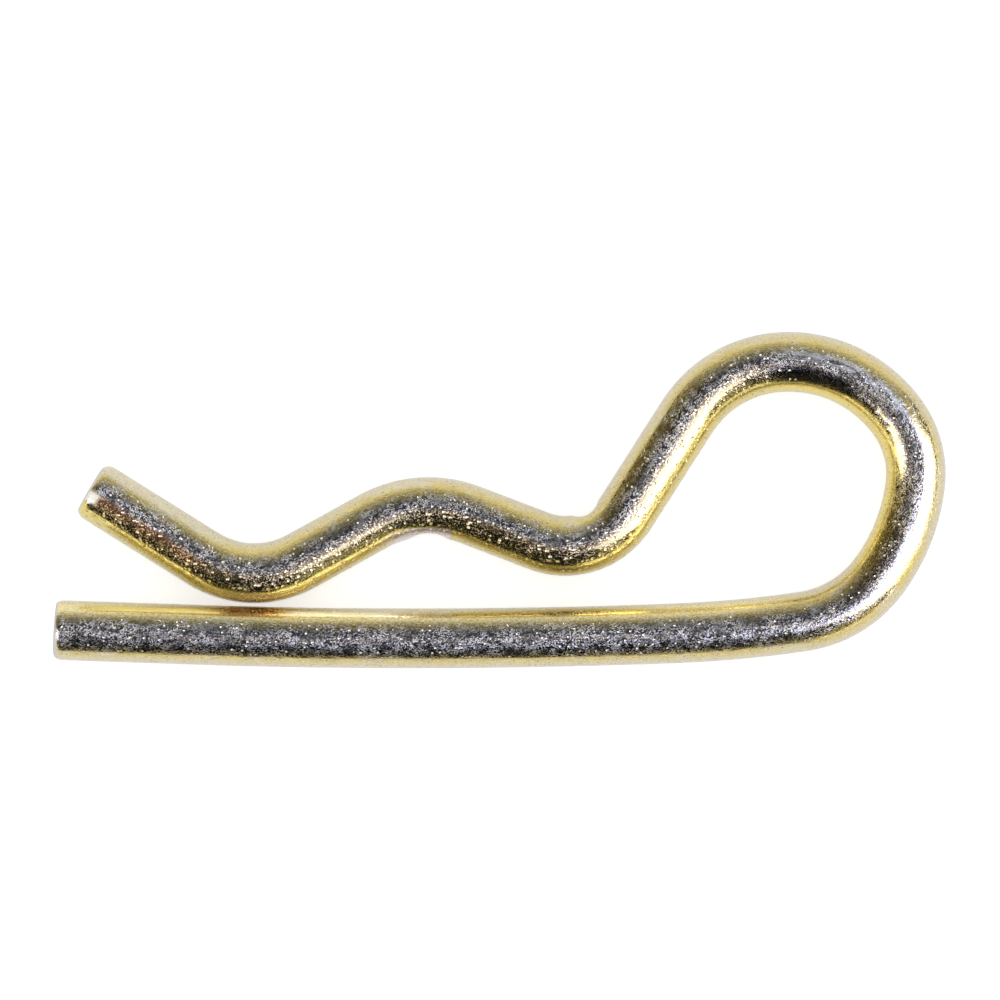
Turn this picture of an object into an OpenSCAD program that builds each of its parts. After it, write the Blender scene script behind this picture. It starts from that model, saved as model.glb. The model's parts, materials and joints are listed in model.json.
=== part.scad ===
// Hitch pin clip: one spring wire bent into a straight leg, an open loop and a waved arm.
// The wire's axis lies in one plane. It starts at the leg's free end and runs along +X, turns back
// over the leg through the loop, and ends at the arm's free end. The leg goes through the cross hole
// of a pin, and the hump of the arm grips the outside of that pin.

/* [Wire] */
// Diameter of the wire
wire_d = 4; // [3.2:0.1:4.6]
// Rounding of the leg's free end
leg_edge_r = 0.55; // [0.2:0.05:1]
// Slant of the sheared face at the leg's free end
leg_shear_angle = 2; // [0.5:0.5:4]
// Rounding of the arm's free end
tail_edge_r = 0.7; // [0.3:0.05:1.1]
// Slant of the sheared face at the arm's free end
tail_shear_angle = 2; // [0.5:0.5:4]

/* [Leg] */
// Straight length from the leg's free end to where it starts to bow
leg_l = 9.5; // [6:0.5:14]
// Turn of the long bow that lifts the rest of the leg
bow_angle = 4.2; // [3:0.1:5]
// Radius of that bow, on the wire's axis
bow_r = 435; // [380:5:480]
// Turn of the lead-in from the leg to the loop
lead_angle = 6; // [4:0.5:9]
// Radius of the lead-in, on the wire's axis
lead_r = 80; // [60:5:100]

/* [Loop] */
// Turn of the loop's lower bend
low_angle = 45; // [38:1:52]
// Inside radius of the loop's lower bend
low_r = 5.6; // [4.5:0.1:7]
// Turn of the loop's flatter far side
flat_angle = 30; // [22:1:36]
// Inside radius of the loop's flatter far side
flat_r = 10.7; // [8.5:0.1:13]
// Turn of the loop's tightest bend
tight_angle = 42; // [36:1:50]
// Inside radius of the loop's tightest bend
tight_r = 4.3; // [3.3:0.1:5.5]
// Turn of the loop's top
top_angle = 60; // [52:1:68]
// Inside radius of the loop's top
top_r = 6.9; // [5.8:0.1:8]
// Inside radius where the loop turns down into the throat
back_r = 5.9; // [4.9:0.1:7]

/* [Waved arm] */
// Slope of the throat, the steep run from the loop to the waist
throat_angle = 59.5; // [54:0.5:65]
// Height of the waist's underside over the leg's axis
waist_h = 4.7; // [3.9:0.1:5.4]
// Inside radius of the bend at the waist
waist_r = 2.8; // [2.2:0.1:3.4]
// Slope of the run from the waist up to the hump
rise_angle = 19; // [17:0.5:22]
// Height of the hump's underside over the leg's axis, half of the gripped pin less the spring
hump_h = 6.98; // [6.6:0.02:7.5]
// Inside radius of the hump
hump_r = 5.6; // [4.4:0.1:6.6]
// Slope of the run from the hump down to the nose
fall_angle = 31; // [28:0.5:35]
// Gap between the nose and the leg
nose_gap = 0.2; // [0.1:0.05:0.8]
// Inside radius of the nose, the bend nearest to the leg
nose_r = 4.4; // [3.4:0.1:5.4]
// Slope of the arm's free end
tail_angle = 30; // [25:0.5:36]
// Length from the nose to the arm's free end
tail_l = 8.9; // [6:0.1:12]
// Turn left in each run between two bends by the spring of the wire
spring_angle = 0.2; // [0.1:0.1:0.4]

/* [Marks of the forming pins] */
// Diameter of the forming pin that dents the waist
waist_pin_d = 2.6; // [2:0.1:3.4]
// Depth of its dent
waist_dent = 0.3; // [0.1:0.05:0.5]
// Turn of the waist's bend that lies before the dent
waist_mark_angle = 28; // [18:1:50]
// Diameter of the forming pin that dents the hump
hump_pin_d = 4.6; // [3.6:0.1:5.6]
// Depth of its dent
hump_dent = 0.25; // [0.1:0.05:0.4]
// Turn of the hump's bend that lies before the dent
hump_mark_angle = 21; // [14:1:34]

/* [Hidden] */
$fn = 64;
half_turn = 180;
quarter_turn = 90;
wire_r = wire_d / 2;
// smallest step of a move
micron = 0.001;
// how far a cutting tool stands clear of the wire
clear = 1;
// length of wire cropped off each free end by its form
trim = 0.5;
// steps in which the edge of a free end is rounded
edge_steps = 3;

// Headings of the wire on its way, from +X towards +Y
throat_in = half_turn + throat_angle - spring_angle;
throat_out = half_turn + throat_angle;
rise_in = half_turn - rise_angle;
rise_out = rise_in + spring_angle;
fall_in = half_turn + fall_angle;
fall_out = fall_in - spring_angle;
tail_in = half_turn - tail_angle;

// Radii on the wire's axis
waist_axis_r = waist_r + wire_r;
hump_axis_r = hump_r + wire_r;
nose_axis_r = nose_r + wire_r;

// Rise of the axis along an arc of radius r between two headings; a right turn takes -r
function rise(r, from, to) = r * (cos(from) - cos(to));
// Radius of a run that climbs by dy while it turns between two headings
function run_r(dy, from, to) = dy / (cos(from) - cos(to));

// Leg and loop as [signed radius on the axis, turn]
LOOP = [
    [bow_r, bow_angle],
    [lead_r, lead_angle],
    [low_r + wire_r, low_angle],
    [flat_r + wire_r, flat_angle],
    [tight_r + wire_r, tight_angle],
    [top_r + wire_r, top_angle],
    [back_r + wire_r, throat_in - bow_angle - lead_angle - low_angle - flat_angle - tight_angle - top_angle]
];

// Heights of the axis where each bend of the arm starts or ends
loop_end_y = rise_of(LOOP, len(LOOP));
waist_in_y = waist_h + wire_r - rise(waist_axis_r, half_turn, throat_out);
waist_out_y = waist_h + wire_r + rise(-waist_axis_r, half_turn, rise_in);
hump_in_y = hump_h + wire_r - rise(hump_axis_r, rise_out, half_turn);
hump_out_y = hump_h + wire_r + rise(hump_axis_r, half_turn, fall_in);
nose_in_y = wire_d + nose_gap - rise(-nose_axis_r, fall_out, half_turn);

// The arm in the same form: throat, waist, run to the hump, hump, run to the nose, nose and tail
ARM = [
    [run_r(waist_in_y - loop_end_y, throat_in, throat_out), spring_angle],
    [-waist_axis_r, throat_out - rise_in],
    [run_r(hump_in_y - waist_out_y, rise_in, rise_out), spring_angle],
    [hump_axis_r, fall_in - rise_out],
    [-run_r(nose_in_y - hump_out_y, fall_out, fall_in), spring_angle],
    [-nose_axis_r, fall_out - tail_in],
    [-(tail_l + trim) / spring_angle * half_turn / PI, spring_angle]
];
WAIST = len(LOOP) + 1;
HUMP = len(LOOP) + 3;
PATH = concat(LOOP, ARM);

// Heading and height of the axis at the start of bend i of a path
function heading(p, i) = i == 0 ? 0 : heading(p, i - 1) + sign(p[i - 1][0]) * p[i - 1][1];
function rise_of(p, i) =
    i == 0 ? 0 : rise_of(p, i - 1) + rise(p[i - 1][0], heading(p, i - 1), heading(p, i));
// Place of the axis at the start of bend i, from the leg's free end
function run(r, from, to) = r * (sin(to) - sin(from));
function run_of(p, i) =
    i == 0 ? leg_l : run_of(p, i - 1) + run(p[i - 1][0], heading(p, i - 1), heading(p, i));
function at(i) = [run_of(PATH, i), rise_of(PATH, i)];
// Unit vector square to the wire at a heading, on its left
function left(h) = [-sin(h), cos(h)];
// Centre of bend i
function middle(i) = at(i) + PATH[i][0] * left(heading(PATH, i));

// The loop's furthest point along +X and its highest, each in the bend that passes its heading
function pass(i, h) = min(max(h, heading(PATH, i)), heading(PATH, i + 1));
far_x = wire_r + max([for (i = [0 : len(LOOP) - 1]) middle(i).x + PATH[i][0] * sin(pass(i, quarter_turn))]);
top_y = wire_r + max([for (i = [0 : len(LOOP) - 1]) middle(i).y - PATH[i][0] * cos(pass(i, half_turn))]);
// From the middle of the box's underside to the middle of the leg's free end
FRAME = [-far_x / 2, (wire_r - top_y) / 2, wire_r];

// A move in three steps, whole millimetres and then microns first, so that no digit of it is lost
module shift(v) {
    whole = [for (c = v) round(c)];
    fine = [for (c = v - whole) round(c / micron) * micron];
    translate(whole) translate(fine) translate(v - whole - fine) children();
}

// Bend i of the wire
module bend(i) {
    r = abs(PATH[i][0]);
    from = heading(PATH, i);
    to = heading(PATH, i + 1);
    start = PATH[i][0] > 0 ? from - quarter_turn : to + quarter_turn;
    shift([middle(i).x, middle(i).y, 0])
        rotate_extrude(start = start, angle = PATH[i][1])
            shift([r, 0]) rotate(-quarter_turn) circle(d = wire_d);
}

// What a free end loses when its axis points along +X: its sharp edge and a slanted slice
module end_cut(edge_r, shear_angle) {
    step = quarter_turn / edge_steps;
    corner_r = edge_r / cos(step / 2);
    form_r = wire_r - edge_r + corner_r;
    back = edge_r + clear;
    wide = 2 * (form_r + clear);
    difference() {
        translate([-back, -wide / 2, -wide / 2]) cube([back + trim + clear, wide, wide]);
        rotate([0, quarter_turn, 0]) rotate_extrude() polygon([
            [0, -back - clear],
            [form_r, -back - clear],
            for (k = [0 : edge_steps])
                [wire_r - edge_r, -edge_r] + corner_r * [cos(k * step), sin(k * step)],
            [0, corner_r - edge_r]
        ]);
    }
    translate([0, -form_r, 0]) rotate(shear_angle) translate([0, -clear, -wide / 2])
        cube([trim + clear, wide, wide]);
}

// Forming pin that dents the inside of bend i after part of its turn
module forming_pin(i, turn, pin_d, depth) {
    side = sign(PATH[i][0]);
    h = heading(PATH, i) + side * turn;
    c = middle(i) - side * (abs(PATH[i][0]) - wire_r + depth - pin_d / 2) * left(h);
    translate([c.x, c.y, -wire_d]) cylinder(d = pin_d, h = 2 * wire_d);
}

module clip_wire() {
    tail_end = at(len(PATH));
    color("goldenrod") translate(FRAME) difference() {
        union() {
            translate([-trim, 0, 0]) rotate([0, quarter_turn, 0]) cylinder(d = wire_d, h = trim + leg_l);
            for (i = [0 : len(PATH) - 1]) bend(i);
        }
        rotate([0, half_turn, 0]) end_cut(leg_edge_r, leg_shear_angle);
        translate([tail_end.x, tail_end.y, 0]) rotate(heading(PATH, len(PATH))) translate([-trim, 0, 0])
            end_cut(tail_edge_r, tail_shear_angle);
        forming_pin(WAIST, waist_mark_angle, waist_pin_d, waist_dent);
        forming_pin(HUMP, hump_mark_angle, hump_pin_d, hump_dent);
    }
}

clip_wire();
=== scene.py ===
"""Looks of the hitch pin clip: one plated spring wire lying flat on a pale table."""

import json
import math

import bpy
import numpy as np
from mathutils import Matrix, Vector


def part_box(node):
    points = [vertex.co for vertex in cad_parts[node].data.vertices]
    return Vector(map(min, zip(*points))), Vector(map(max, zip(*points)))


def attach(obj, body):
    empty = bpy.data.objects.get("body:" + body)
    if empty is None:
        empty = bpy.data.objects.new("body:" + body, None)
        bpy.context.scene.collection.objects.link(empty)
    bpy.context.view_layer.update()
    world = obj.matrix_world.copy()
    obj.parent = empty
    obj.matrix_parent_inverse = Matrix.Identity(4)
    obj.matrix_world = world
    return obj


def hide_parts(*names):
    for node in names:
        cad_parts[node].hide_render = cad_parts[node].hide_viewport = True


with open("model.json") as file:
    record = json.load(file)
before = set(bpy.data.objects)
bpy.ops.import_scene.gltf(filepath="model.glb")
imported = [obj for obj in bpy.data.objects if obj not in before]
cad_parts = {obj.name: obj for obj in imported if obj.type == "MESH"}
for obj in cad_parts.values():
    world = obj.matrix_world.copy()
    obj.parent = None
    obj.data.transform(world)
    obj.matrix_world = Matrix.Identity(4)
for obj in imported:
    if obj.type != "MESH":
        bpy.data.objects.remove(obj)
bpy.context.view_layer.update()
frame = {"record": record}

MM = 0.001
NODE = "clip_wire"
lo, hi = (np.array(v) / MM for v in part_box(NODE))
leg = next(m for m in frame["record"]["mounts"] if m["name"] == "leg")
WIRE_R = leg["dims"]["r_mm"]
AXIS_Z = (lo[2] + hi[2]) / 2
GIRTH = 2 * math.pi * WIRE_R

# ---------------------------------------------------------------- the wire's line, as in the part
# lengths in mm, radii on the wire's axis, turns and slopes in degrees
HALF_TURN = 180
LEG_L = 9.5
BOW = (435.0, 4.2)
LEAD = (80.0, 6.0)
LOW_BEND = (5.6 + WIRE_R, 45.0)
FLAT_SIDE = (10.7 + WIRE_R, 30.0)
TIGHT_BEND = (4.3 + WIRE_R, 42.0)
TOP_BEND = (6.9 + WIRE_R, 60.0)
BACK_R = 5.9 + WIRE_R
SPRING = 0.2
THROAT, RISE, FALL, TAIL = 59.5, 19.0, 31.0, 30.0
WAIST_H, HUMP_H, NOSE_GAP, TAIL_L = 4.7, 6.98, 0.2, 8.9
WAIST_R, HUMP_R, NOSE_R = 2.8 + WIRE_R, 5.6 + WIRE_R, 4.4 + WIRE_R
# indices of some bends in PATH
LOOP_BACK, WAIST, HUMP, TAIL_RUN = 6, 8, 10, 13

# distance between two rings of the dressed wire, fewest rings in a bend, and points in a ring
STEP = 0.138
FEWEST_RINGS = 3
RING = 92


def cosd(a):
    return math.cos(math.radians(a))


def climb(r, a, b):
    """Rise of the axis along an arc of radius r between the headings a and b."""
    return r * (cosd(a) - cosd(b))


def build_path():
    """Signed radius and turn of each bend, from the leg to the tail."""
    loop = [BOW, LEAD, LOW_BEND, FLAT_SIDE, TIGHT_BEND, TOP_BEND]
    loop.append((BACK_R, HALF_TURN + THROAT - SPRING - sum(turn for _, turn in loop)))
    y, heading = 0.0, 0.0
    for r, turn in loop:
        y += climb(r, heading, heading + turn)
        heading += turn
    throat_out = HALF_TURN + THROAT
    rise_in, rise_out = HALF_TURN - RISE, HALF_TURN - RISE + SPRING
    fall_in, fall_out = HALF_TURN + FALL, HALF_TURN + FALL - SPRING
    tail_in = HALF_TURN - TAIL
    waist_in = WAIST_H + WIRE_R - climb(WAIST_R, HALF_TURN, throat_out)
    waist_out = WAIST_H + WIRE_R + climb(-WAIST_R, HALF_TURN, rise_in)
    hump_in = HUMP_H + WIRE_R - climb(HUMP_R, rise_out, HALF_TURN)
    hump_out = HUMP_H + WIRE_R + climb(HUMP_R, HALF_TURN, fall_in)
    nose_in = 2 * WIRE_R + NOSE_GAP - climb(-NOSE_R, fall_out, HALF_TURN)
    arm = [((waist_in - y) / (cosd(heading) - cosd(throat_out)), SPRING),
           (-WAIST_R, throat_out - rise_in),
           ((hump_in - waist_out) / (cosd(rise_in) - cosd(rise_out)), SPRING),
           (HUMP_R, fall_in - rise_out),
           (-(nose_in - hump_out) / (cosd(fall_out) - cosd(fall_in)), SPRING),
           (-NOSE_R, fall_out - tail_in),
           (-TAIL_L / math.radians(SPRING), SPRING)]
    return loop + arm


PATH = build_path()


def lay_line():
    """Evenly spaced points on the axis: distance along, place and heading; and where each bend starts."""
    count = round(LEG_L / STEP)
    points = [(LEG_L * k / count, LEG_L * k / count, 0.0, 0.0) for k in range(count + 1)]
    starts = []
    for r, turn in PATH:
        s0, x0, y0, h0 = points[-1]
        starts.append(s0)
        side = 1 if r > 0 else -1
        length = abs(r) * math.radians(turn)
        count = max(FEWEST_RINGS, round(length / STEP))
        for k in range(1, count + 1):
            h = h0 + side * math.radians(turn) * k / count
            x = x0 + r * (math.sin(h) - math.sin(h0))
            y = y0 + r * (math.cos(h0) - math.cos(h))
            points.append((s0 + length * k / count, x, y, h))
    return np.array(points).T.copy(), starts


(S, X, Y, H), STARTS = lay_line()
LENGTH = S[-1]
X += hi[0] - X.max() - WIRE_R
Y += hi[1] - Y.max() - WIRE_R
ARM_FROM, TAIL_FROM = STARTS[LOOP_BACK], STARTS[TAIL_RUN]

# ---------------------------------------------------------------- relief
SEED = 20
rng = np.random.default_rng(SEED)

# how far the dressed wire lies inside the solid, apart from its relief
INSET = 0.002
# layers of the relief: greatest depth, and the size of a cell along and around the wire;
# the last layer is the fine lines that the drawing die leaves
RELIEF = [(0.0075, 0.9, 0.55), (0.0060, 0.42, 0.30), (0.0100, 6.0, 2.0), (0.0030, 9.0, 0.32)]
# pits: size of a cell, the level of noise from which a pit starts, and depth per unit over it
PIT_CELL = (0.5, 0.45)
PIT_FROM = 0.80
PIT_DEPTH = 0.12


def smooth(t):
    return t * t * (3 - 2 * t)


def soft_min(a, b, k):
    """The smaller of two values, rounded over k where they meet."""
    h = np.clip(0.5 + 0.5 * (b - a) / k, 0, 1)
    return b * (1 - h) + a * h - k * h * (1 - h)


def lattice(u, v, cell_u, cell_v):
    """Smooth noise of about -1 to 1 over u along and v around the wire, which closes on itself."""
    nv = max(3, round(GIRTH / cell_v))
    nu = int(u.max() / cell_u) + 3
    grid = rng.uniform(-1, 1, (nu, nv))
    a, b = u / cell_u, (v / GIRTH * nv) % nv
    i, j = np.floor(a).astype(int), np.floor(b).astype(int)
    fa, fb = smooth(a - i), smooth(b - j)
    j, j1 = j % nv, (j + 1) % nv
    return ((grid[i, j] * (1 - fa) + grid[i + 1, j] * fa) * (1 - fb)
            + (grid[i, j1] * (1 - fa) + grid[i + 1, j1] * fa) * fb)


def surface_relief(along, around):
    """Depth of the plated surface's waves, grain, die lines and pits."""
    depth = np.zeros_like(along)
    for deepest, cell_along, cell_around in RELIEF:
        depth += deepest * (1 + lattice(along, around, cell_along, cell_around)) / 2
    return depth + np.clip(lattice(along, around, *PIT_CELL) - PIT_FROM, 0, 1) * PIT_DEPTH


# ---------------------------------------------------------------- dents of the forming pins
# length of line looked at on both sides of a dent, a limit that the wire never reaches,
# and the rounding of a dent's edge
DENT_RUN = 4
NO_LIMIT = 9.0
DENT_EDGE = 0.05


def pin_limit(bend, turn, pin_d, depth):
    """Side of a forming pin at the inside of a bend, and how far the wire reaches towards it."""
    r = PATH[bend][0]
    side = 1 if r > 0 else -1
    at = STARTS[bend] + abs(r) * math.radians(turn)
    k = int(np.argmin(abs(S - at)))
    left = np.array([-math.sin(H[k]), math.cos(H[k])])
    pin_r = pin_d / 2
    centre = np.array([X[k], Y[k]]) + side * left * (WIRE_R - depth + pin_r)
    dx, dy = centre[0] - X, centre[1] - Y
    reach = side * (dy * np.cos(H) - dx * np.sin(H))
    off2 = dx * dx + dy * dy - reach * reach
    near = (off2 < pin_r * pin_r) & (reach > 0) & (abs(S - at) < DENT_RUN)
    return side, np.where(near, reach - np.sqrt(np.maximum(pin_r * pin_r - off2, 0)), NO_LIMIT)


PINS = [pin_limit(WAIST, turn=28, pin_d=2.6, depth=0.3), pin_limit(HUMP, turn=21, pin_d=4.6, depth=0.25)]


def press_pins(q):
    """The wire's surface beside the line, flattened where a forming pin has dented it."""
    for side, limit in PINS:
        pressed = side * soft_min(side * q, limit[:, None] - INSET, DENT_EDGE)
        q = np.where((limit < NO_LIMIT)[:, None], pressed, q)
    return q


# ---------------------------------------------------------------- the dressed wire
# rounding of both ends, the slant of their faces, the rounding between the two, and the run over which
# the rings move for it, as a multiple of the rounding
LEG_EDGE, TAIL_EDGE = 0.55, 0.7
SHEAR = math.radians(2)
SHEAR_EDGE = 0.02
EDGES_SPREAD = 3
# sizes of the rings that close an end face, as shares of its rim
FACE_RINGS = (0.8, 0.55, 0.3)


def turn_ends(line, q, z):
    """Round and slant both ends: the last rings turn over the edge, as on a cropped wire."""
    along = line.copy()
    for at_leg, edge in ((True, LEG_EDGE), (False, TAIL_EDGE)):
        d = line if at_leg else LENGTH - line
        turned, spread = edge * math.pi / 2, edge * EDGES_SPREAD
        psi = np.clip(d / turned, 0, 1) * math.pi / 2
        depth = np.where(d < turned, edge * (1 - np.cos(psi)),
                         edge + (d - turned) * (spread - edge) / (spread - turned))
        narrowed = (WIRE_R - edge + edge * np.sin(psi)) / WIRE_R
        q, z = q * narrowed, z * narrowed
        slant = (q + WIRE_R) * math.tan(SHEAR)
        depth = -soft_min(-depth, -slant, SHEAR_EDGE)
        along = np.where(d < spread, depth if at_leg else LENGTH - depth, along)
    return along, q, z


def beside_line(along, q, z):
    """Points in space, in mm; past the line's ends they run on along the heading there."""
    k = np.clip(np.searchsorted(S, along) - 1, 0, len(S) - 2)
    f = (along - S[k]) / (S[k + 1] - S[k])
    x, y, h = (v[k] * (1 - f) + v[k + 1] * f for v in (X, Y, H))
    return np.stack([x - np.sin(h) * q, y + np.cos(h) * q, AXIS_Z + z], -1)


def close_ends(rings):
    """The rings as one list of points, with each end face's smaller rings and middle point added."""
    extra = []
    for rim in (rings[0], rings[-1]):
        middle = rim.mean(0)
        extra += [middle + (rim - middle) * share for share in FACE_RINGS]
        extra.append(middle[None])
    return np.vstack([rings.reshape(-1, 3)] + extra)


def wire_faces(count):
    """Quads between the rings, then the rings and the fan of each end face."""
    ring = np.arange(RING)
    turned = (ring + 1) % RING
    first = np.arange(count - 1)[:, None] * RING
    second = first + RING
    quads = np.stack([second + ring, second + turned, first + turned, first + ring], -1)
    faces = quads.reshape(-1, 4).tolist()
    start = count * RING
    for end, flip in ((0, False), (count - 1, True)):
        outer = end * RING + ring
        for _ in FACE_RINGS:
            inner = start + ring
            band = np.stack([outer, inner, inner[turned], outer[turned]], -1)
            faces += (band if flip else band[:, ::-1]).tolist()
            outer = inner
            start += RING
        fan = np.stack([outer, np.full(RING, start), outer[turned]], -1)
        faces += (fan if flip else fan[:, ::-1]).tolist()
        start += 1
    return faces


def build_wire():
    """Rings along the line, closed at both ends, with dents and relief that go inwards."""
    angles = (np.arange(RING) + 0.5) / RING * 2 * math.pi - math.pi / 2
    line, angle = np.meshgrid(S, angles, indexing="ij")
    r = WIRE_R - INSET - surface_relief(line, angle * WIRE_R)
    along, q, z = turn_ends(line, press_pins(r * np.cos(angle)), r * np.sin(angle))
    points = close_ends(beside_line(along, q, z))
    wire_mm = close_ends(np.stack([along, q, z], -1))
    mesh = bpy.data.meshes.new("wire_dressed")
    mesh.from_pydata((points * MM).tolist(), [], wire_faces(len(S)))
    mesh.validate()
    mesh.polygons.foreach_set("use_smooth", np.ones(len(mesh.polygons), bool))
    att = mesh.attributes.new("wire_mm", "FLOAT_VECTOR", "POINT")
    att.data.foreach_set("vector", wire_mm.astype(np.float32).ravel())
    mesh.update()
    obj = bpy.data.objects.new("wire_dressed", mesh)
    bpy.context.scene.collection.objects.link(obj)
    return obj


wire = build_wire()


# ---------------------------------------------------------------- materials
class Nodes:
    """Shorthands for a node tree."""

    def __init__(self, tree):
        self.nodes, self.links = tree.nodes, tree.links

    def put(self, kind, props=None, **ins):
        n = self.nodes.new(kind)
        for k, v in (props or {}).items():
            setattr(n, k, v)
        for k, v in ins.items():
            self.feed(n, k.replace("_", " "), v)
        return n

    def feed(self, n, name, v):
        sock = n.inputs[int(name)] if name.isdigit() else n.inputs[name]
        if isinstance(v, bpy.types.NodeSocket):
            self.links.new(v, sock)
        else:
            sock.default_value = v

    def math(self, op, a, b=0.0, clamp=False):
        n = self.nodes.new("ShaderNodeMath")
        n.operation, n.use_clamp = op, clamp
        self.feed(n, "0", a)
        self.feed(n, "1", b)
        return n.outputs[0]

    def plus(self, a, b):
        return self.math("ADD", a, b)

    def less(self, a, b):
        return self.math("SUBTRACT", a, b)

    def times(self, a, b):
        return self.math("MULTIPLY", a, b)

    def most(self, a, b):
        return self.math("MAXIMUM", a, b)

    def rest(self, share):
        """What a share leaves of the whole."""
        return self.less(1.0, share)

    def vec(self, op, a, b=(0, 0, 0)):
        n = self.nodes.new("ShaderNodeVectorMath")
        n.operation = op
        self.feed(n, "0", a)
        self.feed(n, "1", b)
        return n.outputs["Value"] if op == "DOT_PRODUCT" else n.outputs["Vector"]

    def stretch(self, vector, share):
        """A place with its distance along the wire shrunk, so that patterns are drawn out along it."""
        return self.vec("MULTIPLY", vector, (share, 1, 1))

    def ramp(self, t, lo_, hi_, a=0.0, b=1.0):
        """From a to b, smoothly, while t goes from lo_ to hi_."""
        n = self.put("ShaderNodeMapRange", {"interpolation_type": "SMOOTHSTEP"}, Value=t)
        for k, v in (("From Min", lo_), ("From Max", hi_), ("To Min", a), ("To Max", b)):
            n.inputs[k].default_value = v
        return n.outputs["Result"]

    def within(self, value, middle, half, soft):
        """1 where a value is within half of its middle, fading out over soft."""
        off = self.math("ABSOLUTE", self.less(value, middle))
        return self.ramp(off, half - soft / 2, half + soft / 2, 1.0, 0.0)

    def mix(self, t, a, b):
        n = self.nodes.new("ShaderNodeMix")
        n.data_type = "RGBA"
        self.feed(n, "0", t)
        for k, v in (("6", a), ("7", b)):
            if not isinstance(v, bpy.types.NodeSocket):
                v = (*v, 1.0)
            self.feed(n, k, v)
        return n.outputs[2]

    def noise(self, vector, scale, detail, rough):
        n = self.put("ShaderNodeTexNoise", None, Vector=vector, Scale=scale, Detail=detail, Roughness=rough)
        return n.outputs["Fac"]

    def cells(self, vector, scale):
        """Distance from the middle of the nearest cell, and that cell's random colour, split in three."""
        n = self.put("ShaderNodeTexVoronoi", {"feature": "F1"}, Vector=vector, Scale=scale, Randomness=1.0)
        own = self.put("ShaderNodeSeparateColor", None, Color=n.outputs["Color"])
        return n.outputs["Distance"], own.outputs

    def facing(self, **normal):
        """How far the surface is turned away from the viewer, from 0 for square on to 1."""
        return self.put("ShaderNodeLayerWeight", None, Blend=0.5, **normal).outputs["Facing"]


def new_material(name):
    m = bpy.data.materials.new(name)
    m.use_nodes = True
    m.node_tree.nodes.clear()
    return m, Nodes(m.node_tree)


# ---------------------------------------------------------------- places where the film differs; most are painted reflections, highlights and shade
# s in mm from the leg's free end, q in mm to the left of the wire's axis
# where the leg's painted shade and painted highlight fade out, and where the nose lies over the leg
LEG_PAINTED_LIGHT_ENDS = (44.0, 52.0)
UNDER_NOSE = 13.1
# how far to both sides of their starts the arm and the tail fade in, with the warm reflection painted on
# their lower sides
ARM_FADE, TAIL_FADE = 4, 1


class Where:
    """Where a point lies: s along the wire, q to its left and z above its axis; and on which part it is."""

    def __init__(self, n):
        self.place = n.put("ShaderNodeAttribute", {"attribute_name": "wire_mm"}).outputs["Vector"]
        self.drawn = n.stretch(self.place, 0.75)
        split = n.put("ShaderNodeSeparateXYZ", None, Vector=self.place)
        self.s, self.q, self.z = (split.outputs[axis] for axis in "XYZ")
        ragged = n.times(n.less(n.noise(self.drawn, scale=2.2, detail=3.0, rough=0.6), 0.5), 0.5)
        self.ragged_q = n.plus(self.q, ragged)
        self.on_top = n.ramp(self.z, 0.0, 0.3)
        self.tail = n.ramp(self.s, TAIL_FROM - TAIL_FADE, TAIL_FROM + TAIL_FADE)
        arm = n.ramp(self.s, ARM_FROM - ARM_FADE, ARM_FROM + ARM_FADE)
        self.low_side = n.times(arm, n.ramp(self.ragged_q, -0.15, 0.45))


def leg_painted_reflections(n, at, half=0.20):
    """Two painted reflections: bright lines on the leg, on either side of where the nose lies over it."""
    line = n.times(n.within(at.q, middle=1.58, half=half, soft=0.16), at.on_top)
    towards_loop = n.within(at.s, middle=18.9, half=3.6, soft=2.0)
    towards_end = n.within(at.s, middle=6.6, half=4.0, soft=3.0)
    return n.times(line, n.most(towards_loop, towards_end))


def leg_painted_nose_reflection(n, at):
    """Painted reflection and shade of the nose: the leg browner right under it."""
    spot = n.times(n.within(at.s, UNDER_NOSE, half=1.6, soft=2.0), n.ramp(at.q, 1.2, 1.4))
    return n.times(spot, at.on_top)


def leg_shade(n, at):
    """Painted shade: the leg's lower half, darker and not yet gold."""
    return n.times(n.ramp(at.s, *LEG_PAINTED_LIGHT_ENDS, 1.0, 0.0), n.ramp(at.ragged_q, 0.3, -0.15))


def leg_gold(n, at):
    """Painted highlight: brighter gold along the leg's upper side."""
    band = n.times(n.ramp(at.q, 0.9, 1.15, 0.0, 0.8), n.ramp(at.q, 1.70, 1.85, 1.0, 0.2))
    return n.times(n.ramp(at.s, *LEG_PAINTED_LIGHT_ENDS, 1.0, 0.0), band)


def warm_eye(n, at):
    """Warmer, darker film where the leg turns into the loop, on the inner side."""
    run = n.within(at.s, middle=57.5, half=5.5, soft=3.0)
    return n.times(run, n.ramp(at.ragged_q, -0.3, 0.2, 0.0, 0.8))


def inner_gold(n, at):
    """Painted reflection: deeper gold round the inner side of the loop."""
    run = n.within(at.s, middle=66.5, half=11.0, soft=5.0)
    return n.times(run, n.ramp(at.q, 0.9, 1.3, 0.0, 0.75))


def loop_painted_reflection(n, at):
    """Painted reflection of the overhead light: pale bluish, smeared along the outer half of the loop's top.
    """
    spot = n.times(n.within(at.s, middle=71.0, half=4.8, soft=4.0),
                   n.within(at.q, middle=-0.48, half=0.30, soft=0.36))
    smear = n.ramp(n.noise(n.stretch(at.place, 0.35), scale=2.4, detail=4.0, rough=0.65), 0.40, 0.56)
    return n.times(spot, smear)


def calm_painted_dark_loop(n, at):
    """The inner side of the loop's top, with few crystals and a painted dark reflection."""
    run = n.within(at.s, middle=73.3, half=3.4, soft=3.0)
    return n.times(run, n.ramp(at.ragged_q, 0.0, 0.45, 0.0, 0.62))


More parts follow.
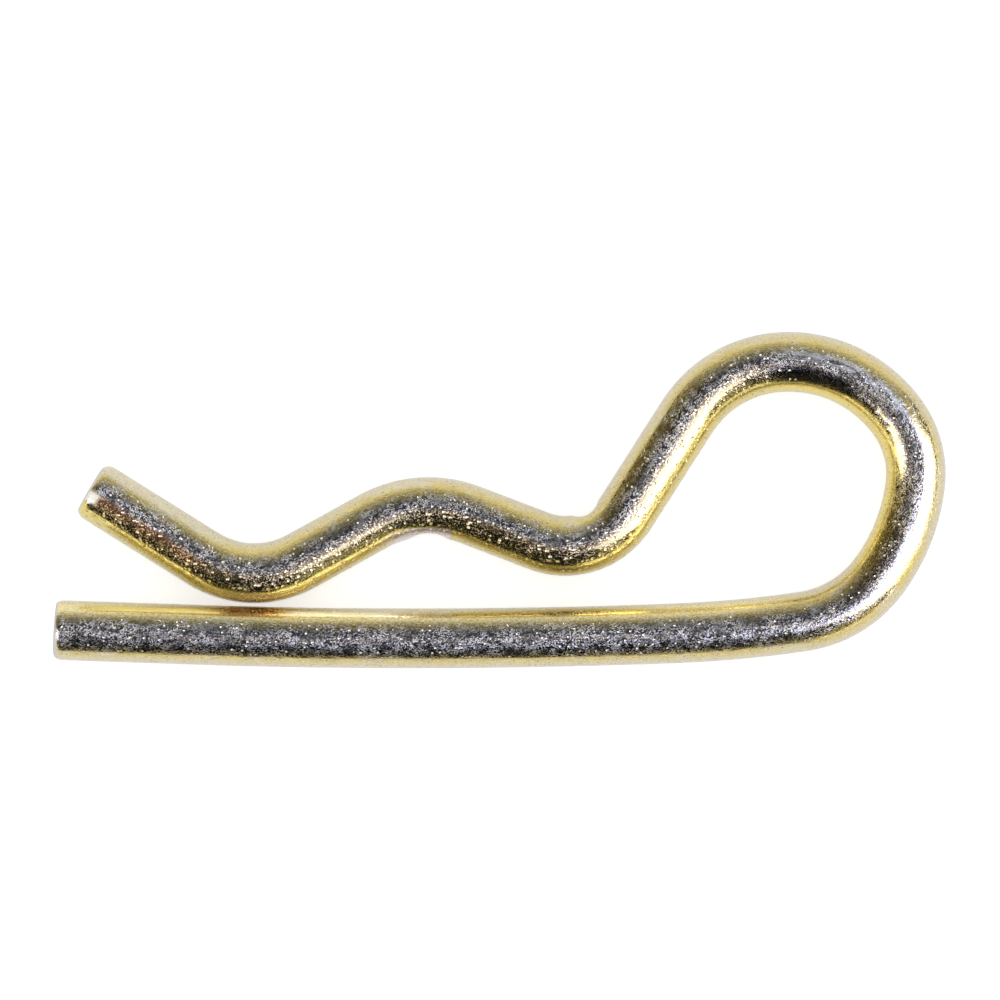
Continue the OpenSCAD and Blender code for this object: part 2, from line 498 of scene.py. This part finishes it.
def hump_painted_reflection(n, at):
    """A painted reflection: a pale band under the hump, with one abrupt end."""
    run = n.times(n.ramp(at.s, 103.3, 103.5), n.ramp(at.s, 107.0, 110.5, 1.0, 0.0))
    return n.times(run, n.ramp(at.q, 1.25, 1.42))


def cream_side(n, at):
    """Painted highlight: paler on the upper side of the tail and on the hump's back."""
    back = n.times(n.ramp(at.s, 105.0, 105.4), n.ramp(at.s, 106.5, 110.5, 0.9, 0.0))
    runs = n.most(n.ramp(at.s, TAIL_FROM - 2, TAIL_FROM + 1), back)
    return n.times(runs, n.ramp(at.ragged_q, -1.1, -1.6))


def nose_painted_reflection(n, at):
    """Painted reflection: coppery round the outside of the nose."""
    run = n.within(at.s, middle=117.6, half=2.6, soft=2.4)
    return n.times(run, n.ramp(at.q, 1.1, 1.5, 0.0, 0.8))


def tail_end_painted_glint(n, at):
    """Painted glint: the bright spot on the rim of the tail's end."""
    spot = n.times(n.within(at.s, middle=LENGTH - 0.55, half=0.42, soft=0.35),
                   n.within(at.q, middle=0.44, half=0.38, soft=0.35))
    return n.times(spot, at.on_top)


def end_faces(n, at):
    """The ground faces of both ends."""
    return n.most(n.ramp(at.s, 0.16, 0.42, 1.0, 0.0), n.ramp(at.s, LENGTH - 0.24, LENGTH - 0.15))


# ---------------------------------------------------------------- crystals, beads and relief of the film
# depth of the relief in the material, in m
BUMP_M = 0.000014


def crystals(n, at, calm_painted_dark):
    """Paler crystals: broken curved strokes, round grains and dust."""
    waves = n.noise(at.drawn, scale=5.8, detail=1.5, rough=0.5)
    stroke = n.ramp(n.math("ABSOLUTE", n.less(waves, 0.5)), 0.022, 0.060, 1.0, 0.0)
    stroke = n.times(stroke, n.ramp(n.noise(at.drawn, scale=3.4, detail=2.0, rough=0.6), 0.44, 0.54))
    stroke = n.times(stroke, n.rest(n.times(at.low_side, 0.8)))
    distance, own = n.cells(at.drawn, scale=5.4)
    grain = n.times(n.ramp(distance, 0.16, 0.36, 1.0, 0.0), n.ramp(own[0], 0.5, 0.6))
    dust = n.ramp(n.noise(at.drawn, scale=12.0, detail=1.5, rough=0.5), 0.56, 0.64)
    speck = n.most(n.most(stroke, grain), n.times(dust, 0.9))
    crowd = n.ramp(n.noise(at.drawn, scale=1.2, detail=3.0, rough=0.6), 0.36, 0.62, 0.45, 1.0)
    return n.times(speck, n.times(crowd, n.rest(calm_painted_dark)))


def bright_beads(n, at, calm_painted_dark):
    """Bright round beads, larger and more of them on the arm's lower side."""
    distance, own = n.cells(at.place, scale=3.4)
    size = n.ramp(at.low_side, 0.0, 1.0, 0.28, 0.46)
    rarity = n.ramp(at.low_side, 0.0, 1.0, 0.68, 0.55)
    chosen = n.less(n.less(own[1], rarity), n.times(calm_painted_dark, 0.3))
    return n.times(n.ramp(n.math("DIVIDE", distance, size), 0.25, 1.0, 1.0, 0.0), n.ramp(chosen, 0.0, 0.02))


def film_normal(n, at, speck, bead):
    """Relief of the crystals and beads, of the film, and of the drawn wire under it."""
    film = n.noise(at.drawn, scale=5.5, detail=3.0, rough=0.6)
    lines = n.noise(n.stretch(at.place, 0.03), scale=7.0, detail=2.0, rough=0.5)
    height = n.plus(n.times(speck, 0.4), n.times(film, 0.4))
    height = n.plus(height, n.times(bead, 2.2))
    height = n.plus(height, n.times(lines, 0.25))
    bump = n.put("ShaderNodeBump", None, Strength=1.0, Distance=BUMP_M, Height=height)
    return bump.outputs["Normal"]


# ---------------------------------------------------------------- colours of the gloss, linear
# the smooth film seen square on: most of the wire, its haze, and the lower sides of the arm and of the tail,
# warmer there as a painted reflection
COLD = (0.09, 0.095, 0.13)
HAZE = (0.44, 0.46, 0.54)
BROWN = (0.10, 0.085, 0.06)
TAIL_BROWN = (0.24, 0.13, 0.075)
# the film at a slant, with its patches; the last five are painted highlights and reflections
GOLD = (0.76, 0.62, 0.24)
DEEP_GOLD = (0.73, 0.58, 0.19)
COPPER = (0.78, 0.47, 0.22)
PALE = (0.72, 0.68, 0.53)
CREAM = (0.74, 0.71, 0.58)
NOSE_REFLECTION_ORANGE = (1.0, 0.62, 0.17)
VIVID = (0.82, 0.68, 0.22)
INNER_GOLD = (0.96, 0.78, 0.24)
LEG_GOLD = (0.98, 0.85, 0.44)
# the film nearer to grazing, also on the arm's lower side, warmer there as a painted reflection, and at
# grazing
STRAW = (0.76, 0.68, 0.47)
LOW_STRAW = (0.82, 0.70, 0.32)
GRAZING = (0.78, 0.74, 0.70)
# painted shade; painted reflections on the leg, under the hump, of the nose in the leg and of the overhead
# light on the loop; a painted glint on the tail's end; the ground ends
SHADE = (0.34, 0.33, 0.33)
LEG_REFLECTION_END = (0.96, 0.82, 0.32)
LEG_REFLECTION_RUN = (0.99, 0.96, 0.74)
HUMP_REFLECTION = (0.80, 0.74, 0.76)
LEG_MIRRORED_NOSE = (0.60, 0.42, 0.20)
PALE_REFLECTION = (0.74, 0.77, 0.84)
GLINT_WHITE = (1.0, 0.97, 0.86)
GROUND = (0.62, 0.61, 0.60)
# crystals: two kinds; those on the lower sides of the arm and of the tail, warm as a painted reflection;
# those in the leg's painted shade; those at the eye
CREAM_CRYSTAL = (0.86, 0.83, 0.72)
BLUE_CRYSTAL = (0.78, 0.82, 0.87)
WARM_CRYSTAL = (0.98, 0.80, 0.50)
TAIL_CRYSTAL = (0.96, 0.58, 0.33)
SHADED_CRYSTAL = (0.10, 0.10, 0.11)
EYE_CRYSTAL = (0.48, 0.41, 0.24)
# beads: most of the wire, and the lower sides of the arm and of the tail, warm as a painted reflection
BEAD = (0.96, 0.93, 0.84)
WARM_BEAD = (1.0, 0.86, 0.58)
TAIL_BEAD = (1.0, 0.76, 0.50)
# slant over which the dark film turns gold
TURNS_GOLD = (0.0, 0.11)


def cold_film(n, at):
    """The smooth film seen square on: nearly black, with haze drawn out along the wire."""
    haze = n.noise(n.stretch(at.place, 0.45), scale=1.5, detail=4.0, rough=0.7)
    return n.mix(n.ramp(haze, 0.52, 0.64, 0.0, 0.8), COLD, HAZE)


def gold_film(n, at):
    """The film seen at a slant: gold, with coppery and pale patches, a painted creamy highlight and a painted
    reflection round the nose.
    """
    gold = n.mix(n.ramp(n.noise(at.place, scale=1.7, detail=3.0, rough=0.6), 0.35, 0.7), GOLD, DEEP_GOLD)
    copper = n.ramp(n.noise(at.place, scale=5.5, detail=2.0, rough=0.5), 0.60, 0.70)
    gold = n.mix(n.times(copper, 0.3), gold, COPPER)
    pale = n.noise(n.stretch(at.place, 0.5), scale=0.9, detail=3.0, rough=0.65)
    gold = n.mix(n.times(n.ramp(pale, 0.50, 0.64, 0.0, 0.55), n.rest(at.low_side)), gold, PALE)
    # painted highlight on the upper sides of the tail and the hump
    gold = n.mix(n.times(cream_side(n, at), 0.7), gold, CREAM)
    # painted reflection: coppery round the nose
    return n.mix(nose_painted_reflection(n, at), gold, NOSE_REFLECTION_ORANGE)


def slanted_film(n, at, slant, cold, calm_painted_dark):
    """A thin film: dark seen square on, gold at a slant and paler near grazing."""
    # warm painted reflection on the lower sides of the arm and the tail
    brown = n.mix(at.tail, BROWN, TAIL_BROWN)
    dark = n.mix(n.times(at.low_side, n.rest(calm_painted_dark)), cold, brown)
    tint = n.mix(n.ramp(slant, *TURNS_GOLD), dark, gold_film(n, at))
    # warm painted reflection on the arm's lower side, at a slant and nearer to grazing
    tint = n.mix(n.times(at.low_side, n.ramp(slant, 0.12, 0.28, 0.0, 0.8)), tint, VIVID)
    tint = n.mix(n.ramp(slant, 0.22, 0.62), tint, n.mix(at.low_side, STRAW, LOW_STRAW))
    # painted reflection round the loop's inner side
    tint = n.mix(inner_gold(n, at), tint, INNER_GOLD)
    # painted highlight along the leg's upper side
    tint = n.mix(leg_gold(n, at), tint, LEG_GOLD)
    return n.mix(n.ramp(slant, 0.62, 0.90), tint, GRAZING)


def used_film(n, at, slant, cold, calm_painted_dark, shade):
    """The film's colour with its painted shade, its mottle, and painted reflections on the leg, the loop and
    under the hump.
    """
    tint = slanted_film(n, at, slant, cold, calm_painted_dark)
    before_gold = n.times(n.ramp(slant, *TURNS_GOLD), n.ramp(slant, 0.19, 0.27, 0.9, 0.0))
    # painted shade on the leg's lower half, greyer before it turns gold
    tint = n.mix(n.times(shade, before_gold), tint, SHADE)
    mottle = n.ramp(n.noise(at.drawn, scale=8.0, detail=2.5, rough=0.6), 0.38, 0.62)
    tint = n.vec("MULTIPLY", tint, n.rest(n.times(mottle, n.ramp(slant, 0.12, 0.30, 0.40, 0.12))))
    # painted reflections: the leg's two bright lines
    tint = n.mix(leg_painted_reflections(n, at), tint, n.mix(n.ramp(at.s, 11.0, 14.0), LEG_REFLECTION_END, LEG_REFLECTION_RUN))
    # painted dark reflection on the inner side of the loop's top
    tint = n.mix(n.times(calm_painted_dark, n.ramp(slant, 0.08, 0.20, 0.9, 0.0)), tint, cold)
    # painted reflection: the pale band under the hump
    tint = n.mix(hump_painted_reflection(n, at), tint, HUMP_REFLECTION)
    # painted reflection and shade of the nose on the leg
    return n.mix(leg_painted_nose_reflection(n, at), tint, LEG_MIRRORED_NOSE)


def crystal_colour(n, at, shade):
    """The crystals seen square on: silvery, with copper and gold along the low side of the arm as a painted
    reflection, darker in the leg's painted shade.
    """
    patchy = n.ramp(n.noise(at.drawn, scale=3.1, detail=2.0, rough=0.6), 0.4, 0.6)
    cool = n.mix(patchy, CREAM_CRYSTAL, BLUE_CRYSTAL)
    # warm painted reflection on the crystals of the lower sides
    crystal = n.mix(at.low_side, cool, n.mix(at.tail, WARM_CRYSTAL, TAIL_CRYSTAL))
    # painted shade: darker crystals on the leg's lower half
    crystal = n.mix(n.times(shade, 0.25), crystal, SHADED_CRYSTAL)
    return n.mix(warm_eye(n, at), crystal, EYE_CRYSTAL)


def roughness(n, at, speck, ends):
    """Glossy film, with rougher crystals and ground ends."""
    film = n.ramp(n.noise(at.place, scale=2.6, detail=3.0, rough=0.6), 0.3, 0.75, 0.09, 0.17)
    return n.most(n.plus(film, n.times(speck, 0.16)), n.times(ends, 0.38))


def metal_share(n, at, speck, bead, overhead_reflection, end_glint):
    """Metal, less where crystals and beads scatter the light, and where reflections and a glint are painted
    in.
    """
    grit = n.times(speck, n.ramp(n.noise(at.drawn, scale=2.0, detail=3.0, rough=0.7), 0.52, 0.62))
    bead_share = n.ramp(at.low_side, 0.2, 0.8, 0.35, 0.60)
    metal = 1.0
    for spot, share in ((speck, 0.08), (grit, 0.28), (bead, bead_share), (overhead_reflection, 0.42),
                        (leg_painted_reflections(n, at, half=0.15), 0.70), (nose_painted_reflection(n, at), 0.22)):
        metal = n.less(metal, n.times(spot, share))
    return n.math("SUBTRACT", metal, n.times(end_glint, 0.85), clamp=True)


def zinc():
    """Yellow chromated zinc: a smooth gold film, with paler rough crystals and beads standing in it."""
    m, n = new_material("yellow_zinc")
    at = Where(n)
    # painted: the dark on the loop's inner top, the leg's shade, the overhead light's reflection on the loop
    # and the glint on the tail's end
    calm_painted_dark, shade = calm_painted_dark_loop(n, at), leg_shade(n, at)
    overhead_reflection, end_glint, ends = loop_painted_reflection(n, at), tail_end_painted_glint(n, at), end_faces(n, at)
    speck, bead = crystals(n, at, calm_painted_dark), bright_beads(n, at, calm_painted_dark)
    normal = film_normal(n, at, speck, bead)
    slant = n.facing(Normal=normal)
    square_on = n.ramp(n.facing(), 0.07, 0.19, 1.0, 0.0)
    film = used_film(n, at, slant, cold_film(n, at), calm_painted_dark, shade)
    crystal = n.mix(square_on, film, crystal_colour(n, at, shade))
    base = n.mix(n.times(speck, 0.95), film, crystal)
    # warm painted reflection on the beads of the lower sides
    bead_colour = n.mix(at.low_side, BEAD, n.mix(at.tail, WARM_BEAD, TAIL_BEAD))
    base = n.mix(n.times(bead, square_on), base, bead_colour)
    # painted reflection of the overhead light on the loop's top
    base = n.mix(n.times(overhead_reflection, 0.85), base, PALE_REFLECTION)
    # painted glint on the rim of the tail's end
    base = n.mix(end_glint, base, GLINT_WHITE)
    base = n.mix(ends, base, GROUND)
    metal = metal_share(n, at, speck, bead, overhead_reflection, end_glint)
    rough = roughness(n, at, speck, ends)
    bsdf = n.put("ShaderNodeBsdfPrincipled", None, Base_Color=base, Metallic=metal, Roughness=rough,
                 Normal=normal)
    n.put("ShaderNodeOutputMaterial", None, Surface=bsdf.outputs[0])
    return m


wire.data.materials.append(zinc())
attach(wire, "root")
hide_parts(NODE)


# ---------------------------------------------------------------- table
TABLE_HALF = 1.2
TABLE_DROP = 0.00002
TABLE_GREY = (0.74, 0.74, 0.74, 1)
# glow that brings the table to white, as the camera sees it and as the wire mirrors it
GLOW_SEEN, GLOW_MIRRORED = 0.6, 0.30
WHITE = (1, 1, 1, 1)


def table():
    m, n = new_material("pale_table")
    path = n.put("ShaderNodeLightPath")
    mirrored = n.most(path.outputs["Is Glossy Ray"], path.outputs["Is Transmission Ray"])
    seen = n.plus(n.times(path.outputs["Is Camera Ray"], GLOW_SEEN), n.times(mirrored, GLOW_MIRRORED))
    diffuse = n.put("ShaderNodeBsdfDiffuse", None, Color=TABLE_GREY)
    glow = n.put("ShaderNodeEmission", None, Color=WHITE, Strength=seen)
    both = n.put("ShaderNodeAddShader")
    n.links.new(diffuse.outputs[0], both.inputs[0])
    n.links.new(glow.outputs[0], both.inputs[1])
    n.put("ShaderNodeOutputMaterial", None, Surface=both.outputs[0])
    r = TABLE_HALF
    mesh = bpy.data.meshes.new("table")
    mesh.from_pydata([(-r, -r, 0), (r, -r, 0), (r, r, 0), (-r, r, 0)], [], [(0, 1, 2, 3)])
    mesh.materials.append(m)
    obj = bpy.data.objects.new("table", mesh)
    obj.location.z = lo[2] * MM - TABLE_DROP
    bpy.context.scene.collection.objects.link(obj)


# ---------------------------------------------------------------- light
# The studio's panels. The angles are in degrees: the azimuth of the middle (0 is right, 90 behind), its angle
# from the zenith, half of the height and of the width, and how far the panel is rolled. Soft is how far the
# edge fades to both sides, as a share of that half.
OVERHEAD = dict(azimuth=90, zenith=18, half_tall=22, half_wide=34, soft=0.5)
BEHIND_LEFT = dict(azimuth=152, zenith=50, half_tall=32, half_wide=16, soft=0.4)
HIGH_LEFT = dict(azimuth=222, zenith=17, half_tall=10, half_wide=13, soft=0.5)
HIGH_RIGHT = dict(azimuth=320, zenith=12, half_tall=14, half_wide=9, soft=0.5)
FRONT_RIGHT = dict(azimuth=304, zenith=61, half_tall=11, half_wide=8, soft=0.4)
WHITE_CARD = dict(azimuth=305, zenith=86, half_tall=12, half_wide=22, soft=0.15)
RIGHT_CARD = dict(azimuth=16, zenith=84, half_tall=12, half_wide=28, soft=0.2)
FRONT_CARD = dict(azimuth=318, zenith=73, half_tall=5, half_wide=24, soft=0.3)
RIGHT_TALL = dict(azimuth=332, zenith=43, half_tall=28, half_wide=14, soft=0.15, roll=20)
RIGHT_WIDE = dict(azimuth=358, zenith=55, half_tall=22, half_wide=22, soft=0.35)
LEFT = dict(azimuth=200, zenith=50, half_tall=22, half_wide=12, soft=0.2, roll=-32)
SLIM_LEFT = dict(azimuth=210, zenith=79, half_tall=5, half_wide=14, soft=0.3)
SLIM_FRONT = dict(azimuth=236, zenith=82, half_tall=2.5, half_wide=8, soft=0.3)
SLIM_RIGHT = dict(azimuth=315, zenith=81, half_tall=2.5, half_wide=28, soft=0.3)
# what lies over the dark room, behind the white backdrop and before it: colour, how much of it, and panels
DIM_PANELS = [
    ((0.35, 0.355, 0.38), 1.0, OVERHEAD),
    ((0.13, 0.105, 0.045), 1.0, BEHIND_LEFT),
    ((0.42, 0.34, 0.24), 1.0, HIGH_LEFT),
    ((1.25, 1.10, 0.86), 1.0, HIGH_RIGHT),
    ((0.33, 0.32, 0.30), 1.0, FRONT_RIGHT),
]
NEAR_PANELS = [
    ((0.02, 0.02, 0.02), 0.92, RIGHT_CARD),
    ((0.05, 0.045, 0.03), 1.0, FRONT_CARD),
    ((5.0, 5.1, 6.8), 1.0, RIGHT_TALL, RIGHT_WIDE),
    ((4.0, 3.9, 4.6), 1.0, LEFT),
    ((1.7, 1.6, 1.4), 1.0, SLIM_LEFT),
    ((1.9, 1.8, 1.7), 1.0, SLIM_FRONT),
    ((1.8, 1.7, 1.6), 1.0, SLIM_RIGHT),
]
DARK_ROOM = (0.008, 0.009, 0.012)
BACKDROP = (1.0, 1.0, 1.0)
SOFT_WHITE = (0.95, 0.95, 0.95, 1)
# height of a direction where the backdrop's white begins, and where it is full
HORIZON = (0.13, 0.04)
# how far back a direction points where the white that climbs behind the clip begins, and where it is full
CLIMBS = (0.30, 0.75)
# brightness of that white at the horizon, and its loss with height
CLIMB_WHITE, CLIMB_LOSS = 1.08, 1.2
# cosines of the angle from a panel's middle where the panel begins, and where it is full
ASIDE = (0.02, 0.1)


def direction(azimuth, zenith):
    a, t = math.radians(azimuth), math.radians(zenith)
    return np.array([math.cos(a) * math.sin(t), math.sin(a) * math.sin(t), math.cos(t)])


def panel(n, way, azimuth, zenith, half_tall, half_wide, soft, roll=0):
    """Share of a soft panel that a direction sees; its tall side points down, then turns by roll."""
    middle = direction(azimuth, zenith)
    down = direction(azimuth, zenith + 90)
    tall = cosd(roll) * down + cosd(roll - 90) * np.cross(middle, down)
    wide = np.cross(middle, tall)
    ahead = n.vec("DOT_PRODUCT", way, tuple(middle))
    safe = n.most(ahead, ASIDE[0])
    shares = []
    for axis, half in ((tall, half_tall), (wide, half_wide)):
        t = n.math("ABSOLUTE", n.math("DIVIDE", n.vec("DOT_PRODUCT", way, tuple(axis)), safe))
        edge = math.tan(math.radians(half))
        shares.append(n.ramp(t, edge * (1 - soft), edge * (1 + soft), 1.0, 0.0))
    return n.times(n.times(*shares), n.ramp(ahead, *ASIDE))


def lay_panels(n, way, sky, lines):
    """The sky with each line's colour over it, where one of the line's panels is seen."""
    for colour, share, first, *others in lines:
        seen = panel(n, way, **first)
        for other in others:
            seen = n.most(seen, panel(n, way, **other))
        sky = n.mix(n.times(seen, share), sky, colour)
    return sky


def backdrop(n, way):
    """White from the horizon down, which climbs and fades behind the clip, and a low card in front."""
    split = n.put("ShaderNodeSeparateXYZ", None, Vector=way)
    x, y, up = (split.outputs[axis] for axis in "XYZ")
    below = n.ramp(up, *HORIZON)
    behind = n.ramp(n.plus(y, n.times(x, 0.25)), *CLIMBS)
    faded = n.less(CLIMB_WHITE, n.times(up, CLIMB_LOSS))
    climbing = n.times(n.most(faded, 0.0), behind)
    return n.most(n.math("MAXIMUM", below, climbing, clamp=True), panel(n, way, **WHITE_CARD))


def studio():
    """A dark room with panels for the wire's gloss, white for the camera, plain soft light for the rest."""
    world = bpy.data.worlds.new("studio")
    world.use_nodes = True
    bpy.context.scene.world = world
    n = Nodes(world.node_tree)
    n.nodes.clear()
    way = n.put("ShaderNodeTexCoord").outputs["Generated"]
    sky = lay_panels(n, way, DARK_ROOM, DIM_PANELS)
    sky = n.mix(backdrop(n, way), sky, BACKDROP)
    sky = lay_panels(n, way, sky, NEAR_PANELS)
    path = n.put("ShaderNodeLightPath")
    light = n.put("ShaderNodeBackground", None, Color=SOFT_WHITE, Strength=1.0)
    for ray, colour in (("Is Glossy Ray", sky), ("Is Camera Ray", WHITE)):
        other = n.put("ShaderNodeBackground", None, Color=colour, Strength=1.0)
        chosen = n.put("ShaderNodeMixShader")
        n.links.new(path.outputs[ray], chosen.inputs[0])
        n.links.new(light.outputs[0], chosen.inputs[1])
        n.links.new(other.outputs[0], chosen.inputs[2])
        light = chosen
    n.put("ShaderNodeOutputWorld", None, Surface=light.outputs[0])


# ---------------------------------------------------------------- camera
# what the picture spans and the middle that it looks at, in mm, and its height over the wire, in m
VIEW_MM = 66.3
VIEW_CENTRE = (-0.1065, -0.111)
VIEW_ROLL = math.radians(1.915)
CAMERA_HEIGHT = 0.75
SENSOR = 36
CLIP_START, CLIP_END = 0.01, 10


def camera():
    """Straight down, from far off, turned a little as the photograph was."""
    cam = bpy.data.cameras.new("camera")
    cam.sensor_width = SENSOR
    cam.lens = SENSOR * (CAMERA_HEIGHT / MM) / VIEW_MM
    cam.clip_start, cam.clip_end = CLIP_START, CLIP_END
    obj = bpy.data.objects.new("camera", cam)
    obj.location = (VIEW_CENTRE[0] * MM, VIEW_CENTRE[1] * MM, AXIS_Z * MM + CAMERA_HEIGHT)
    obj.rotation_euler = (0, 0, VIEW_ROLL)
    bpy.context.scene.collection.objects.link(obj)
    bpy.context.scene.camera = obj


table()
studio()
camera()
bpy.context.scene.view_settings.view_transform = "Standard"
